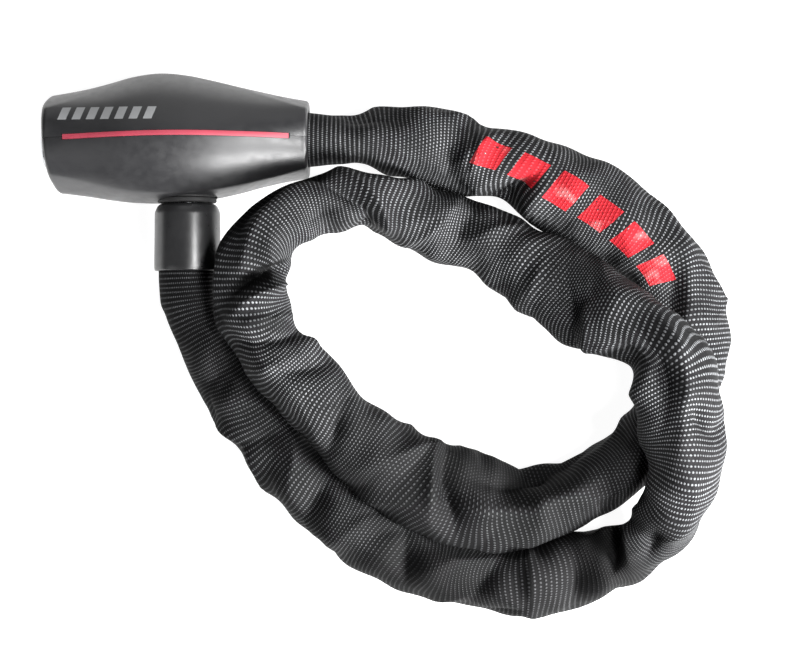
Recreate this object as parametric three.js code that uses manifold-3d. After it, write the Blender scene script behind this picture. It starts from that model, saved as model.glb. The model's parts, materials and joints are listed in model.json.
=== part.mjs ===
// A bicycle chain lock: a plastic-cased lock body with a key cylinder, a plug that snaps into its side,
// and a steel chain in a woven fabric sleeve that runs from the body's right end to the plug.
// Millimetres, +Z up. The lock lies on its flat back. The origin is on that back, under the body's middle:
// +X runs along the body from the keyway to the chain, and the plug goes in along +Y.
import * as THREE from 'three';
import { mergeVertices } from 'three/addons/utils/BufferGeometryUtils.js';
import Module from 'manifold-3d';

const wasm = await Module();
wasm.setup();

// Driving dimensions
const GAP = 0.3; // between pieces that touch
const AXIS_Z = 15; // height of the body's, the cylinder's and the plug's axes over the flat back
const BODY_END = 40; // the body runs from -BODY_END to +BODY_END along X
const FLATTENED = 0.9; // the body's thickness over its width
const SHELL = 2.2; // wall of the casing
const SPLIT_Y = 1.2; // the casing's parting plane, and the middle of the stripe
const STRIPE = { from: -34.5, to: 34.1, width: 1.4, depth: 0.7 };

const PLUG_X = 3.4; // the plug's axis crosses the body here
const BOLT = { tip: -9.6, radius: 4, grooveRadius: 2.2, grooveFrom: -13.8, grooveTo: -11.4 };
const CAP = { top: -19.4, rim: -39.7, radius: 10, bore: 8.9, floor: 2.2 };
const SEAL = { inner: 5.2, outer: 8.8, from: -19.1, to: -15.6 };
const PLUG_PIN_Y = -40.5;
const ANCHOR_X = 20;

const CYLINDER = { from: -37.1, to: -14, radius: 7.5, coreRadius: 4.7, coreFace: -38.9 };
const CAM = { from: -13.2, to: -10.5, radius: 5.2, throwRadius: 2.4, pinRadius: 1.2, pinTo: -5.6 };
const LATCH = { from: -13.5, to: -11.7, wide: 4.4, narrow: 2.5, rim: 1 };
const WAFERS = 4;

const LINKS = 36;
const WIRE = 4; // the chain's wire diameter
const LINK_INNER_WIDTH = 6;
const LINK_SLACK = 1.6; // how much longer a link's hole is than the pitch
const PIN_RADIUS = 2;

const SLEEVE = { radius: 10.2, endRadius: 8.4, wall: 0.7, sides: 12, steps: 72 };
const SLEEVE_START_X = 31;
const SLEEVE_END_Y = -34.3;
const TAPER = { straight: 12, over: 20 }; // the sleeve widens from its end radius over this stretch

// The chain's lie, from the body's right end round both turns to the plug.
const ROUTE = [
  [31, 0, 15], [46, 0, 15], [63, 0.2, 13.2], [87, -4.4, 11], [118, -16.2, 11],
  [142, -32, 11], [153, -48, 11], [155.4, -66, 11], [147.5, -84.5, 11], [129, -100, 11],
  [107, -109.5, 11.8], [90, -110, 15], [74, -104.5, 18.8], [52, -88, 22.6],
  [37.5, -74.5, 24.4], [27.3, -61.5, 25.2], [23.3, -47, 25.4], [27, -33, 25.4], [37.5, -23, 25.2],
  [51, -19.4, 23.4], [65.5, -20.9, 18.4], [82, -27, 12.2], [100, -35.6, 12], [118, -46.4, 18.4],
  [133, -56, 27], [144, -66, 32], [150, -79, 33.4], [152.6, -96, 31], [151, -108, 25],
  [145, -119, 17.4], [133, -128, 12], [115, -132.8, 11], [93, -132, 11], [66, -123, 11],
  [43, -107.5, 11], [25, -85.5, 11], [12.6, -68, 11.8], [4.6, -52, 14.4], [3.4, -43, 15],
  [3.4, -34.3, 15],
];

const materials = {
  casing: new THREE.MeshStandardMaterial({ color: 0x3b3c3e, roughness: 0.42, metalness: 0 }),
  stripe: new THREE.MeshStandardMaterial({ color: 0xc23a4c, roughness: 0.5, metalness: 0 }),
  cap: new THREE.MeshStandardMaterial({ color: 0x1d1d1f, roughness: 0.45, metalness: 0 }),
  seal: new THREE.MeshStandardMaterial({ color: 0x101011, roughness: 0.8, metalness: 0 }),
  steel: new THREE.MeshStandardMaterial({ color: 0x9a9c9f, roughness: 0.35, metalness: 1 }),
  brass: new THREE.MeshStandardMaterial({ color: 0xb08d4c, roughness: 0.35, metalness: 1 }),
  zinc: new THREE.MeshStandardMaterial({ color: 0x86898d, roughness: 0.5, metalness: 1 }),
  fabric: new THREE.MeshStandardMaterial({ color: 0x1b1c1e, roughness: 0.9, metalness: 0 }),
};

// Solids: three.js makes the shapes, and manifold-3d joins and cuts them.
function solid(geometry) {
  const bare = geometry.clone();
  bare.deleteAttribute('normal');
  bare.deleteAttribute('uv');
  const merged = mergeVertices(bare, 1e-4);
  return new wasm.Manifold(new wasm.Mesh({
    numProp: 3,
    vertProperties: new Float32Array(merged.attributes.position.array),
    triVerts: new Uint32Array(merged.index.array),
  }));
}

function geometryOf(made) {
  const mesh = made.getMesh();
  const geometry = new THREE.BufferGeometry();
  geometry.setAttribute('position', new THREE.BufferAttribute(mesh.vertProperties, 3));
  geometry.setIndex(new THREE.BufferAttribute(mesh.triVerts, 1));
  return geometry;
}

function box(low, high) {
  const size = high.map((value, i) => value - low[i]);
  const middle = high.map((value, i) => (value + low[i]) / 2);
  return solid(new THREE.BoxGeometry(...size).translate(...middle));
}

// Turns a shape made about +Y so that it stands about the named axis.
const ABOUT = {
  x: (geometry) => geometry.rotateZ(-Math.PI / 2),
  y: (geometry) => geometry,
  z: (geometry) => geometry.rotateX(Math.PI / 2),
};

// A ring or disc about an axis: profile is a closed list of [radius, height].
function turned(axis, profile, centre, sides = 32) {
  const points = [...profile, profile[0]].map(([radius, height]) => new THREE.Vector2(radius, height));
  return solid(ABOUT[axis](new THREE.LatheGeometry(points, sides)).translate(...centre));
}

function rod(axis, radius, from, to, centre, sides = 24) {
  const disc = new THREE.CylinderGeometry(radius, radius, to - from, sides).translate(0, (from + to) / 2, 0);
  return solid(ABOUT[axis](disc).translate(...centre));
}

function ring(axis, inner, outer, from, to, centre, sides = 32) {
  return turned(axis, [[inner, from], [outer, from], [outer, to], [inner, to]], centre, sides);
}

const onBody = [0, 0, AXIS_Z];
const onPlug = [PLUG_X, 0, AXIS_Z];
const FAR = 100;

// The casing's outside, or the same shape drawn in by inset, cut flat at the back.
function bodyShape(inset) {
  const curve = new THREE.SplineCurve([
    new THREE.Vector2(14.8, -BODY_END + 1.2),
    new THREE.Vector2(17, -22),
    new THREE.Vector2(19.5, -5),
    new THREE.Vector2(17.9, 11),
    new THREE.Vector2(14.6, 26),
    new THREE.Vector2(12, BODY_END - 1.2),
  ]);
  const end = BODY_END - inset;
  const side = curve.getPoints(14).map((p) => new THREE.Vector2(p.x - inset, (p.y * end) / BODY_END));
  const profile = [
    new THREE.Vector2(0, -end),
    new THREE.Vector2(13.7 - inset, -end),
    ...side,
    new THREE.Vector2(11.3 - inset, end),
    new THREE.Vector2(0, end),
  ];
  const barrel = new THREE.LatheGeometry(profile, 32).rotateZ(-Math.PI / 2);
  barrel.scale(1, 1, FLATTENED).translate(...onBody);
  return solid(barrel).intersect(box([-FAR, -FAR, inset], [FAR, FAR, FAR]));
}

// What lies outside the body drawn in by depth, in a strip along the front's middle.
function stripeBand(width, depth, length) {
  const half = width / 2;
  const middle = (STRIPE.from + STRIPE.to) / 2;
  const strip = box(
    [middle - length / 2, SPLIT_Y - half, AXIS_Z],
    [middle + length / 2, SPLIT_Y + half, FAR],
  );
  return strip.subtract(bodyShape(depth));
}

const stripeLength = STRIPE.to - STRIPE.from;

function casing() {
  return bodyShape(0)
    .subtract(bodyShape(SHELL))
    .subtract(stripeBand(STRIPE.width + 2 * GAP, STRIPE.depth + GAP, stripeLength + 2 * GAP))
    .subtract(rod('x', 8.9, -BODY_END - 1, -BODY_END + SHELL + 1, onBody))
    .subtract(rod('x', SLEEVE.endRadius + GAP, BODY_END - SHELL - 1, BODY_END + 1, onBody))
    .subtract(rod('y', SEAL.outer + GAP, -25, SEAL.to + 0.5, onPlug));
}

function lockHousing() {
  const barrel = rod('x', 9.6, CYLINDER.from + 0.2, 28, onBody, 32);
  const block = box([-10, -19, 2], [13, 10, 28]);
  const latchRoom = box([-9.4, LATCH.from - GAP, 7.2], [11, LATCH.to + GAP, 24.6]);
  const armRoom = box([-9.4, LATCH.from - GAP, 10.2], [-4.4, 1, 20]);
  return barrel.add(block)
    .intersect(bodyShape(SHELL + 0.4))
    .subtract(rod('x', CYLINDER.radius + GAP, -FAR, CYLINDER.to + GAP, onBody, 32))
    .subtract(rod('x', CAM.radius + GAP, -20, CAM.pinTo + GAP, onBody))
    .subtract(latchRoom)
    .subtract(armRoom)
    .subtract(rod('y', BOLT.radius + GAP, -25, BOLT.tip + 0.6, onPlug))
    .subtract(rod('y', SEAL.outer + GAP, -25, SEAL.to + GAP, onPlug))
    .subtract(rod('x', 7.5, 12.8, FAR, onBody, 32))
    .subtract(rod('z', PIN_RADIUS + GAP, -12, 12, [ANCHOR_X, 0, AXIS_Z]))
    .subtract(rod('y', 1.2 + GAP, 0, 12, [-25, 0, AXIS_Z]));
}

function cylinderBody() {
  return ring('x', CYLINDER.coreRadius + GAP, CYLINDER.radius, CYLINDER.from, CYLINDER.to, onBody)
    .subtract(rod('y', 1.2 + GAP, 6, 12, [-25, 0, AXIS_Z]));
}

const waferX = Array.from({ length: WAFERS }, (_, i) => -34 + 4 * i);

function cylinderCore() {
  let core = rod('x', CYLINDER.coreRadius, CYLINDER.coreFace, CYLINDER.to + 0.5, onBody);
  core = core.add(box([CYLINDER.to, -2, AXIS_Z - 2], [CAM.from + 2, 2, AXIS_Z + 2]));
  core = core.subtract(box([-FAR, -0.8, AXIS_Z - 3.2], [-17, 0.8, AXIS_Z + 3.2]));
  for (const x of waferX) {
    core = core.subtract(box([x - 0.8, -2, AXIS_Z - 3.9], [x + 0.8, 2, AXIS_Z + 3.9]));
  }
  return core;
}

function wafer(x) {
  const plate = box([x - 0.5, -1.7, AXIS_Z - 3.6], [x + 0.5, 1.7, AXIS_Z + 3.6]);
  return plate.subtract(box([x - 1, -0.9, AXIS_Z - 2.2], [x + 1, 0.9, AXIS_Z + 2.2]));
}

// The cam's pin stands 45 degrees below the plug's side of the cylinder, and turns to 45 degrees above it.
const camPin = [0, -CAM.throwRadius * Math.SQRT1_2, AXIS_Z - CAM.throwRadius * Math.SQRT1_2];

function camDriver() {
  return rod('x', CAM.radius, CAM.from, CAM.to, onBody)
    .subtract(box([-FAR, -2 - GAP, AXIS_Z - 2 - GAP], [CAM.from + 2 + GAP, 2 + GAP, AXIS_Z + 2 + GAP]))
    .add(rod('x', CAM.pinRadius, CAM.to - 0.5, CAM.pinTo, camPin, 16));
}

// A plate with a keyhole: the bolt passes its wide end, and its narrow end drops into the bolt's groove.
function latchPlate() {
  const drop = 2 * CAM.throwRadius * Math.SQRT1_2;
  const plate = box(
    [-8.8, LATCH.from, AXIS_Z - drop - LATCH.narrow - LATCH.rim],
    [PLUG_X + LATCH.wide + 1.6, LATCH.to, AXIS_Z + LATCH.wide + LATCH.rim - 0.2],
  );
  const arm = box([-8.8, LATCH.from, AXIS_Z - 4.4], [-4.9, -0.1, AXIS_Z + 1]);
  const pinSlot = box(
    [-20, camPin[1] - 2.3, camPin[2] - CAM.pinRadius - GAP],
    [-2, camPin[1] + 1.5, camPin[2] + CAM.pinRadius + GAP],
  );
  const narrow = box(
    [PLUG_X - LATCH.narrow, LATCH.from - 1, AXIS_Z - drop - LATCH.narrow],
    [PLUG_X + LATCH.narrow, LATCH.to + 1, AXIS_Z],
  );
  // Trimmed so that it stays inside the casing at both ends of its travel.
  const room = bodyShape(SHELL + GAP);
  return plate.add(arm)
    .intersect(room)
    .intersect(room.translate([0, 0, -drop]))
    .subtract(pinSlot)
    .subtract(rod('y', LATCH.wide, LATCH.from - 1, LATCH.to + 1, onPlug))
    .subtract(narrow);
}

// The steel bolt: a grooved tip, a flange that the cap sits on, and a fork for the chain's last link.
function plugBolt() {
  const chamfer = 1;
  const flange = { top: CAP.top - CAP.floor - GAP, bottom: CAP.top - CAP.floor - 2.8, radius: 8.4 };
  const shaft = turned('y', [
    [0, flange.bottom], [flange.radius, flange.bottom], [flange.radius, flange.top],
    [BOLT.radius, flange.top], [BOLT.radius, BOLT.grooveFrom], [BOLT.grooveRadius, BOLT.grooveFrom],
    [BOLT.grooveRadius, BOLT.grooveTo], [BOLT.radius, BOLT.grooveTo],
    [BOLT.radius, BOLT.tip - chamfer], [BOLT.radius - chamfer, BOLT.tip], [0, BOLT.tip],
  ], onPlug, 24);
  const forkLow = PLUG_PIN_Y - PIN_RADIUS - 0.9;
  const fork = box([PLUG_X - 6.3, forkLow, AXIS_Z - 3], [PLUG_X + 6.3, flange.bottom + 0.5, AXIS_Z + 3]);
  const linkRoom = box([PLUG_X - 4, -FAR, AXIS_Z - 8], [PLUG_X + 4, flange.bottom, AXIS_Z + 8]);
  return shaft.add(fork)
    .subtract(linkRoom)
    .subtract(rod('x', PIN_RADIUS + GAP, -8, 8, [PLUG_X, PLUG_PIN_Y, AXIS_Z], 20));
}

function plugCap() {
  const hole = BOLT.radius + GAP;
  return turned('y', [
    [hole, CAP.top - CAP.floor], [CAP.bore, CAP.top - CAP.floor], [CAP.bore, CAP.rim],
    [CAP.radius - 0.5, CAP.rim], [CAP.radius, CAP.rim + 0.5], [CAP.radius, CAP.top - 1.5],
    [CAP.radius - 1.5, CAP.top], [hole, CAP.top],
  ], onPlug, 40);
}

// The chain's path: straight out of the body's anchor, along the route, and straight into the plug.
const along = new THREE.CatmullRomCurve3(ROUTE.map((p) => new THREE.Vector3(...p)), false, 'centripetal');
along.arcLengthDivisions = 2000;
const routeLength = along.getLength();
const lead = SLEEVE_START_X - ANCHOR_X;
const tail = PLUG_PIN_Y - SLEEVE_END_Y;
const outOfBody = along.getTangentAt(0);
const intoPlug = along.getTangentAt(1);

// The point at distance s along the chain from the anchor pin. Past either end the path goes on straight.
function pathPoint(s) {
  const t = s - lead;
  if (t < 0) return along.getPointAt(0).addScaledVector(outOfBody, t);
  if (t > routeLength) return along.getPointAt(1).addScaledVector(intoPlug, t - routeLength);
  return along.getPointAt(t / routeLength);
}

// The sleeve: a tube along the route, drawn in where it enters the body and the plug.
function chainSleeve() {
  const section = new THREE.Shape(circle(SLEEVE.radius));
  section.holes.push(new THREE.Path(circle(SLEEVE.radius - SLEEVE.wall)));
  const tube = new THREE.ExtrudeGeometry(section, { steps: SLEEVE.steps, extrudePath: along });
  const centres = Array.from({ length: SLEEVE.steps + 1 }, (_, i) => along.getPointAt(i / SLEEVE.steps));
  const position = tube.attributes.position;
  const drawnIn = SLEEVE.radius - SLEEVE.endRadius;
  for (let v = 0; v < position.count; v++) {
    const p = new THREE.Vector3().fromBufferAttribute(position, v);
    const step = centres.reduce((best, c, i) => (
      c.distanceToSquared(p) < centres[best].distanceToSquared(p) ? i : best), 0);
    const s = (step / SLEEVE.steps) * routeLength;
    const fromEnd = Math.min(s, routeLength - s);
    const share = 1 - THREE.MathUtils.smoothstep(fromEnd, TAPER.straight, TAPER.straight + TAPER.over);
    const offset = p.sub(centres[step]);
    offset.setLength(offset.length() - drawnIn * share).add(centres[step]);
    position.setXYZ(v, offset.x, offset.y, offset.z);
  }
  return tube;
}

function circle(radius) {
  return Array.from({ length: SLEEVE.sides }, (_, i) => {
    const angle = (2 * Math.PI * i) / SLEEVE.sides;
    return new THREE.Vector2(radius * Math.cos(angle), radius * Math.sin(angle));
  });
}

// The chain's pitch fills the path between the two pins.
const PIN_ROOM = 0.4; // between a pin and the end of the link's hole
const pathLength = lead + routeLength + tail;
const pitch = (pathLength - LINK_SLACK + 2 * (PIN_RADIUS + PIN_ROOM)) / LINKS;
const firstLinkStart = (pitch + LINK_SLACK) / 2 - PIN_RADIUS - PIN_ROOM - pitch / 2;

// One welded link, lying along X with its hole facing Z: a ring pulled out to the pitch.
function linkGeometry() {
  const bend = (LINK_INNER_WIDTH + WIRE) / 2;
  const reach = (pitch + LINK_SLACK + WIRE) / 2 - bend;
  const link = new THREE.TorusGeometry(bend, WIRE / 2, 6, 10);
  link.scale(1, 1 / Math.sin(0.4 * Math.PI), 1);
  const position = link.attributes.position;
  for (let v = 0; v < position.count; v++) {
    position.setX(v, position.getX(v) + Math.sign(position.getX(v)) * reach);
  }
  return link;
}

// A point of the path at distance s, moved out of the bend so that each link's middle stays central.
function corner(s) {
  const here = pathPoint(s);
  const chord = pathPoint(s - pitch / 2).add(pathPoint(s + pitch / 2)).multiplyScalar(0.5);
  return here.clone().addScaledVector(here.clone().sub(chord), 0.5);
}

const UP = new THREE.Vector3(0, 0, 1);

// Link k, flat or, every second one, on edge. Neighbours turn about each other's end wires: seen from above
// the chain bends at the end wires of the links on edge, and seen from the side at those of the flat links.
function chainLink(k) {
  const flat = k % 2 === 0;
  const overlap = ((WIRE + LINK_SLACK) / 2) * (flat ? 1 : -1);
  const start = firstLinkStart + k * pitch;
  const plan = [corner(start + overlap), corner(start + pitch - overlap)];
  const rise = [corner(start - overlap), corner(start + pitch + overlap)];
  const middle = plan[0].clone().add(plan[1]).multiplyScalar(0.5);
  middle.z = (rise[0].z + rise[1].z) / 2;
  const forward = plan[1].clone().sub(plan[0]).divideScalar(pitch - 2 * overlap);
  forward.z = (rise[1].z - rise[0].z) / (pitch + 2 * overlap);
  forward.normalize();
  const side = UP.clone().cross(forward).normalize();
  const over = forward.clone().cross(side);
  const [across, face] = flat ? [side, over] : [over, side.clone().negate()];
  const mesh = new THREE.Mesh(linkGeometry(), materials.steel);
  mesh.name = `chain_link_${String(k + 1).padStart(2, '0')}`;
  mesh.position.copy(middle);
  mesh.quaternion.setFromRotationMatrix(new THREE.Matrix4().makeBasis(forward, across, face));
  return mesh;
}

function named(name, shape, material) {
  const mesh = new THREE.Mesh(shape.isBufferGeometry ? shape : geometryOf(shape), materials[material]);
  mesh.name = name;
  return mesh;
}

const wholeCasing = casing();
const above = box([-FAR, SPLIT_Y + GAP / 2, -FAR], [FAR, FAR, FAR]);
const below = box([-FAR, -FAR, -FAR], [FAR, SPLIT_Y - GAP / 2, FAR]);

const lockBody = new THREE.Group();
lockBody.add(
  named('casing_upper', wholeCasing.intersect(above), 'casing'),
  named('casing_lower', wholeCasing.intersect(below), 'casing'),
  named('stripe_inlay', stripeBand(STRIPE.width, STRIPE.depth, stripeLength).intersect(bodyShape(0)), 'stripe'),
  named('lock_housing', lockHousing(), 'zinc'),
  named('keyway_bezel', ring('x', 5.2, 8.6, -BODY_END + 0.2, CYLINDER.from - GAP, onBody), 'steel'),
  named('cylinder_body', cylinderBody(), 'brass'),
  named('cylinder_retaining_pin', rod('y', 1.2, 6.4, 9, [-25, 0, AXIS_Z], 16), 'steel'),
  named('chain_anchor_pin', rod('z', PIN_RADIUS, -9, 9, [ANCHOR_X, 0, AXIS_Z], 20), 'steel'),
  named('sleeve_ferrule', ring('x', 7.4, 8.4, 28.3, SLEEVE_START_X - GAP, onBody), 'steel'),
  named('socket_seal', ring('y', SEAL.inner, SEAL.outer, SEAL.from, SEAL.to, onPlug), 'seal'),
);

const keyParts = new THREE.Group();
keyParts.add(
  named('cylinder_core', cylinderCore(), 'brass'),
  named('cam_driver', camDriver(), 'steel'),
  ...waferX.map((x, i) => named(`cylinder_wafer_${i + 1}`, wafer(x), 'brass')),
);

const latch = new THREE.Group();
latch.add(named('latch_plate', latchPlate(), 'steel'));

const plug = new THREE.Group();
const clampTop = CAP.top - CAP.floor - 2.8 - 1;
plug.add(
  named('plug_bolt', plugBolt(), 'steel'),
  named('plug_cap', plugCap(), 'cap'),
  named('plug_link_pin', rod('x', PIN_RADIUS, -6.3, 6.3, [PLUG_X, PLUG_PIN_Y, AXIS_Z], 20), 'steel'),
  named('plug_sleeve_clamp', ring('y', 7.6, 8.5, SLEEVE_END_Y + GAP, clampTop, onPlug), 'steel'),
);

const chain = new THREE.Group();
chain.add(named('chain_sleeve', chainSleeve(), 'fabric'));
for (let k = 0; k < LINKS; k++) chain.add(chainLink(k));

const chainLock = new THREE.Group();
chainLock.add(lockBody, keyParts, latch, plug, chain);

export default chainLock;
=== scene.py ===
import json
import math

import bmesh
import bpy
import numpy as np
from mathutils import Matrix, Vector
from mathutils.bvhtree import BVHTree


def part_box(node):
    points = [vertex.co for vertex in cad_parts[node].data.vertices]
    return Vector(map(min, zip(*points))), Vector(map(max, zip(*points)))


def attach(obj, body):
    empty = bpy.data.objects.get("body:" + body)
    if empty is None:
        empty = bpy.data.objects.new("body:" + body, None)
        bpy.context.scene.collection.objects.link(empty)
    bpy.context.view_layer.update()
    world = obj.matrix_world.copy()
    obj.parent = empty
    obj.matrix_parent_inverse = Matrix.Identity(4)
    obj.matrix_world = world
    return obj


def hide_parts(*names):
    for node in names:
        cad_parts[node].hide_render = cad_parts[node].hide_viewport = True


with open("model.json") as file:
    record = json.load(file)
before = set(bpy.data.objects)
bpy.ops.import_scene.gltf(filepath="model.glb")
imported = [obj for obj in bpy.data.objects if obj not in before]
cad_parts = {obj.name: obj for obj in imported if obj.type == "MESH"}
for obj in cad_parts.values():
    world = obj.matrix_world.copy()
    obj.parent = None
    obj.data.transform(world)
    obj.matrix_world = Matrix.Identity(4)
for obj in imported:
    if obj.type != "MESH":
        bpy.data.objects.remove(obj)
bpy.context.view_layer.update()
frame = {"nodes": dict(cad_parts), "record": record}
MM = 0.001
AXIS_Z = 15.0  # height in mm of the axes of the body, the key cylinder and the plug

# The chain's lie, from the body's right end round both turns to the plug, in metres.
ROUTE = [
    (0.031, 0, 0.015), (0.046, 0, 0.015), (0.063, 0.0002, 0.0132), (0.087, -0.0044, 0.011),
    (0.118, -0.0162, 0.011), (0.142, -0.032, 0.011), (0.153, -0.048, 0.011), (0.1554, -0.066, 0.011),
    (0.1475, -0.0845, 0.011), (0.129, -0.1, 0.011), (0.107, -0.1095, 0.0118), (0.09, -0.11, 0.015),
    (0.074, -0.1045, 0.0188), (0.052, -0.088, 0.0226), (0.0375, -0.0745, 0.0244),
    (0.0273, -0.0615, 0.0252), (0.0233, -0.047, 0.0254), (0.027, -0.033, 0.0254),
    (0.0375, -0.023, 0.0252), (0.051, -0.0194, 0.0234), (0.0655, -0.0209, 0.0184),
    (0.082, -0.027, 0.0122), (0.1, -0.0356, 0.012), (0.118, -0.0464, 0.0184), (0.133, -0.056, 0.027),
    (0.144, -0.066, 0.032), (0.15, -0.079, 0.0334), (0.1526, -0.096, 0.031), (0.151, -0.108, 0.025),
    (0.145, -0.119, 0.0174), (0.133, -0.128, 0.012), (0.115, -0.1328, 0.011), (0.093, -0.132, 0.011),
    (0.066, -0.123, 0.011), (0.043, -0.1075, 0.011), (0.025, -0.0855, 0.011), (0.0126, -0.068, 0.0118),
    (0.0046, -0.052, 0.0144), (0.0034, -0.043, 0.015), (0.0034, -0.0343, 0.015),
]

# Half the sleeve's width in mm, every 10 mm along it: on the outer side of the loops and on the inner side.
OUTER_HALF = [
    8.3, 8.1, 7.2, 9.2, 11.2, 12.2, 11.0, 12.0, 13.0, 13.6, 14.0, 13.2, 12.8, 13.5, 12.8, 12.2, 12.0, 11.5,
    11.5, 12.0, 12.5, 12.8, 14.2, 15.6, 15.4, 14.0, 13.8, 13.4, 12.4, 11.2, 10.0, 9.2, 9.0, 10.6, 11.8, 12.6,
    10.7, 9.0, 9.7, 9.3, 9.7, 10.6, 11.9, 13.2, 12.5, 13.9, 14.3, 13.6, 12.8, 12.7, 14.2, 12.6, 11.3, 9.8,
    9.1, 8.9, 8.0, 8.4, 9.8, 11.1, 12.3, 10.8, 10.6, 11.8, 11.9, 12.1, 10.6, 10.6, 10.9, 11.1, 11.1, 10.6,
    8.8, 7.8, 8.0, 8.3,
]
INNER_HALF = [
    8.3, 8.1, 7.2, 8.4, 11.0, 12.2, 12.4, 9.0, 11.5, 13.2, 12.0, 12.0, 11.5, 11.5, 11.0, 11.0, 11.0, 10.5,
    8.5, 7.5, 7.5, 7.6, 9.2, 12.3, 15.0, 16.0, 15.4, 13.6, 12.2, 11.4, 12.4, 13.6, 11.4, 10.8, 11.0, 9.9,
    7.8, 8.8, 8.6, 7.4, 8.8, 10.1, 10.9, 8.4, 10.9, 12.0, 12.8, 13.8, 11.2, 7.2, 12.0, 13.3, 12.8, 10.8,
    11.0, 10.3, 7.6, 10.4, 12.6, 12.0, 11.0, 10.5, 10.5, 10.5, 10.5, 10.5, 10.0, 10.0, 10.0, 9.8, 9.6, 9.2,
    8.6, 8.0, 8.0, 8.3,
]
ROW_PITCH = 1.28  # mm between two rows of the weave
THREADS = 84  # threads round the sleeve
SLACK_HEIGHT = 23.6  # mm: half the width and half the height of the sleeve together
TIGHT_HALF = 8.3  # mm: half the sleeve's height near its two ends, where it isn't slack
CHAIN_ROOM = 0.45  # mm between the chain's links and the cloth that rests on them
THINNEST = 5.0  # mm from the centre line
WIDEST = 16.1  # mm from the centre line
FACET_HEIGHT = 1.8  # mm, of the flat facets that slack cloth falls into
LINK_WAVE = 16.7  # mm between the low swellings over the links
FIRST_LAP = 345.0  # mm along the route where the first lap ends, at the left fold
FLOOR_ROOM = 0.4  # mm between the floor and the cloth pressed flat on it
SEAM_GAP = 0.12  # mm between the casing's halves, and from each strand to the plane where two meet
CASING_END = 45  # mm: past both ends of the casing

# Creases on the sleeve's upper side: distance along it, place across it (outer side positive), direction in
# degrees from the sleeve's own, half length and half width, all in mm, and the height of ridge or hollow.
CREASES = [
    (25, 6, 5, 10, 3.3, -3.1), (53, -5, 80, 8, 3.9, -4.7), (60, -3, 75, 7, 3, 1.8),
    (75, -6, 60, 7, 2.8, -5.6), (82, -6, 65, 7, 3, 2), (135, 3, -25, 11, 2.5, 2.2),
    (138, -3, -25, 9, 3.3, -2.8), (226, -8, 0, 20, 5, -4.5), (232, 1, 0, 24, 2.4, 2.6),
    (254, -3, 115, 12, 2.6, -5.5), (260, -3, 115, 11, 2.4, 2.6), (292, 2, 110, 8, 3.3, -3.3),
    (312, -5, 60, 8, 3.3, -3.4), (318, 2, 70, 10, 2.4, 2.2), (325, -1, 72, 12, 2.6, -4),
    (331, -3, 80, 9, 2.2, 1.8), (340, -3, 122, 13, 2.4, 4), (346.5, -4, 122, 13, 2.6, -7),
    (365, 6, 8, 20, 2.2, 2.2), (366, 11, 5, 22, 4, -2.6), (375, -4, 20, 5, 4.4, -4.2),
    (384, 0, -48, 12, 2.2, -5), (389, 1, -48, 12, 2, 3), (410, -1, 60, 10, 2.2, 1.8),
    (421, 2, 85, 9, 5.5, -3.1), (431, 5, 36, 10, 2.4, 2), (452, -3, 100, 8, 3, 1.5),
    (466, -6, -60, 11, 3.6, -6), (473, -5, -60, 11, 2.6, 2.6), (489, -5, 20, 8, 3.3, -4.2),
    (500, -3, -20, 13, 3.4, -4.5), (504, 2.5, -20, 15, 2.4, 2.8), (514, 4, 40, 6, 3.4, -4.5),
    (531, -2, 75, 8, 3, 1.5), (554, 0, 30, 5.5, 4.2, -6.5), (560, -7, 60, 8, 2.5, 3),
    (567, -6, 60, 8, 2.6, -5.1), (585, 3, 80, 9, 4.4, -3.3), (598, 2, 95, 9, 3, 1.8),
    (612, 2, 70, 9, 4.4, -3.1), (636, 3, 110, 9, 3.7, -3.1), (655, 3, 70, 9, 3, 1.5),
    (668, 2, 100, 9, 3.5, -3.3), (693, 3, 75, 9, 4, -3.3), (716, 1, 100, 8, 3.5, -3.1),
]

# Painted shade on the cloth, in oval patches: distance along the sleeve in mm, thread, lean in mm a thread,
# half length in mm, half width in threads, and share of painted shade.
PAINTED_SHADE_PATCHES = [
    (347, 27, 0.55, 3.2, 13, 0.95), (329, 27, -0.41, 3, 10, 0.6), (245, 33, 0, 20, 9, 0.75),
    (573, 22, 0, 13, 26, 0.8), (630, 14, 0, 16, 12, 0.6), (365, 1, 0, 20, 9, 0.9),
]
# Painted shade along whole strands: distance along the sleeve and half length, in mm, and share of painted
# shade.
PAINTED_SHADE_STRETCHES = [(240, 60, 0.80), (606, 62, 0.82), (705, 50, 0.6)]


def add_object(name, data):
    made = bpy.data.objects.new(name, data)
    bpy.context.scene.collection.objects.link(made)
    return made


def make_camera():
    """A camera straight above the lock."""
    data = bpy.data.cameras.new("camera")
    data.lens = 94.3
    data.clip_start = 0.01
    camera = add_object("camera", data)
    camera.location = (0.06776, -0.05939, 0.650)
    bpy.context.scene.camera = camera


# Geometry helpers

def mesh_object(name, vertices, faces, smooth_angle=32):
    mesh = bpy.data.meshes.new(name)
    mesh.from_pydata([tuple(v) for v in np.asarray(vertices, float) * MM], [], faces)
    mesh.validate()
    made = add_object(name, mesh)
    shade(made, smooth_angle)
    return made


def shade(made, smooth_angle=32):
    """Smooth shading, with sharp edges where the faces turn by more than the angle."""
    mesh = made.data
    mesh.polygons.foreach_set("use_smooth", [True] * len(mesh.polygons))
    mesh.set_sharp_from_angle(angle=math.radians(smooth_angle))
    mesh.update()


def cut(target, tool, operation="DIFFERENCE", keep_tool=False):
    """Applies a boolean of tool to target, and removes the tool."""
    modifier = target.modifiers.new("cut", "BOOLEAN")
    modifier.object = tool
    modifier.operation = operation
    modifier.solver = "MANIFOLD"
    evaluated = target.evaluated_get(bpy.context.evaluated_depsgraph_get())
    mesh = bpy.data.meshes.new_from_object(evaluated)
    target.modifiers.clear()
    target.data = mesh
    if not keep_tool:
        bpy.data.objects.remove(tool)
    return target


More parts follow.
